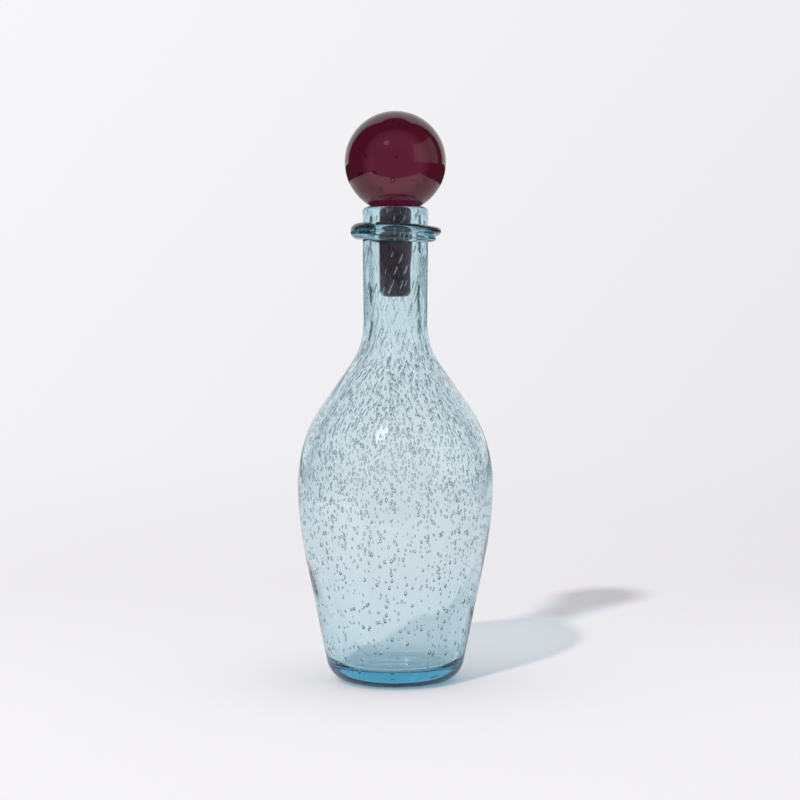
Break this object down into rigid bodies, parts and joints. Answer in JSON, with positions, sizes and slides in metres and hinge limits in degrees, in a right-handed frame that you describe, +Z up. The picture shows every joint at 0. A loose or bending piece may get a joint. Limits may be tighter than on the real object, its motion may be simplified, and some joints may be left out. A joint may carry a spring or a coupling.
{
  "type": "stoppered glass bottle",
  "caption": "Hand-blown bottle of pale blue bubbled glass with a thick base, long neck, lapped glass collar and a plum glass ball stopper on a peg.",
  "frame": {"origin": "on the table under the middle of the bottle, at the bottom centre of the object's box", "axes": "+Z up along the axis of bottle and stopper, -Y towards the viewer of the picture, +X to the viewer's right"},
  "size_m": [0.102, 0.102, 0.2972],
  "materials": {
    "bottle_glass": "clear pale blue blown glass full of small bubbles, deep blue-green in the thick base",
    "collar_glass": "the same pale blue glass laid on hot as a trail, smooth and shiny",
    "ball_glass": "solid dark plum glass with a few bubbles, smooth and shiny",
    "peg_glass": "solid dark plum glass with fine bubbles"
  },
  "bodies": {
    "bottle": {"bottle": "bottle_glass", "neck_collar": "collar_glass"},
    "stopper": {"stopper_ball": "ball_glass", "stopper_peg": "peg_glass"}
  },
  "joints": [
    {"name": "stopper_lift", "type": "slide", "parent": "bottle", "child": "stopper", "axis": [0, 0, 1], "range_m": [0, 0.06]}
  ]
}
